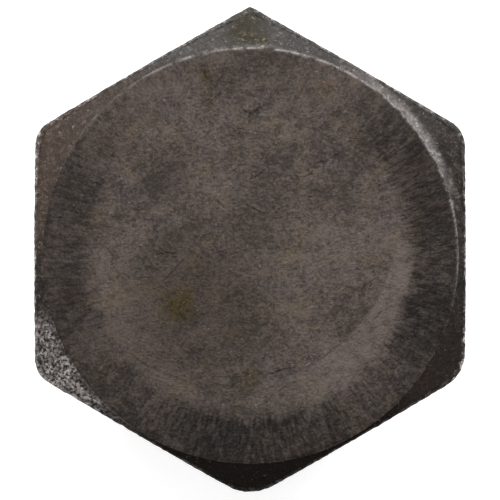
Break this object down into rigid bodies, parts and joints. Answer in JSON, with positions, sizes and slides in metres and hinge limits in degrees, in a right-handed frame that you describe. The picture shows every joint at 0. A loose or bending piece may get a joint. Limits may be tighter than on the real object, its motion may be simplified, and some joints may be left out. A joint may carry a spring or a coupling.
{
  "type": "hex bolt",
  "caption": "Hexagon head bolt with plain shank and metric thread, carrying a hexagon nut, a spring lock washer and a flat washer that run along it.",
  "frame": {"origin": "centre of the head's bearing face, on the bolt's axis", "axes": "+Z along the axis from the thread end towards the head, +Y towards one corner of the hexagon, +X across flats"},
  "size_m": [0.037, 0.037, 0.1125],
  "materials": {
    "bolt_steel": "dark self-colour forging scale, dull",
    "washer_steel": "dark self-colour steel, dull",
    "spring_steel": "black tempered spring steel",
    "nut_steel": "dark self-colour forging scale, dull"
  },
  "bodies": {
    "bolt": {"hex_bolt": "bolt_steel"},
    "spring_washer": {"spring_washer": "spring_steel"},
    "flat_washer": {"flat_washer": "washer_steel"},
    "nut": {"hex_nut": "nut_steel"}
  },
  "joints": [
    {"name": "nut_travel", "type": "slide", "parent": "bolt", "child": "spring_washer", "axis": [0, 0, 1], "range_m": [-0.00725, 0.0175]},
    {"name": "nut_spin", "type": "hinge", "parent": "spring_washer", "child": "nut", "pos_m": [0, 0, -0.08375], "axis": [0, 0, 1], "range_deg": [-1040, 2515]},
    {"name": "washer_float", "type": "slide", "parent": "spring_washer", "child": "flat_washer", "axis": [0, 0, 1], "range_m": [0, 0.0458]}
  ],
  "couplings": [
    {"joint": "nut_travel", "follows": "nut_spin", "m_per_rad": 0.00039789}
  ]
}
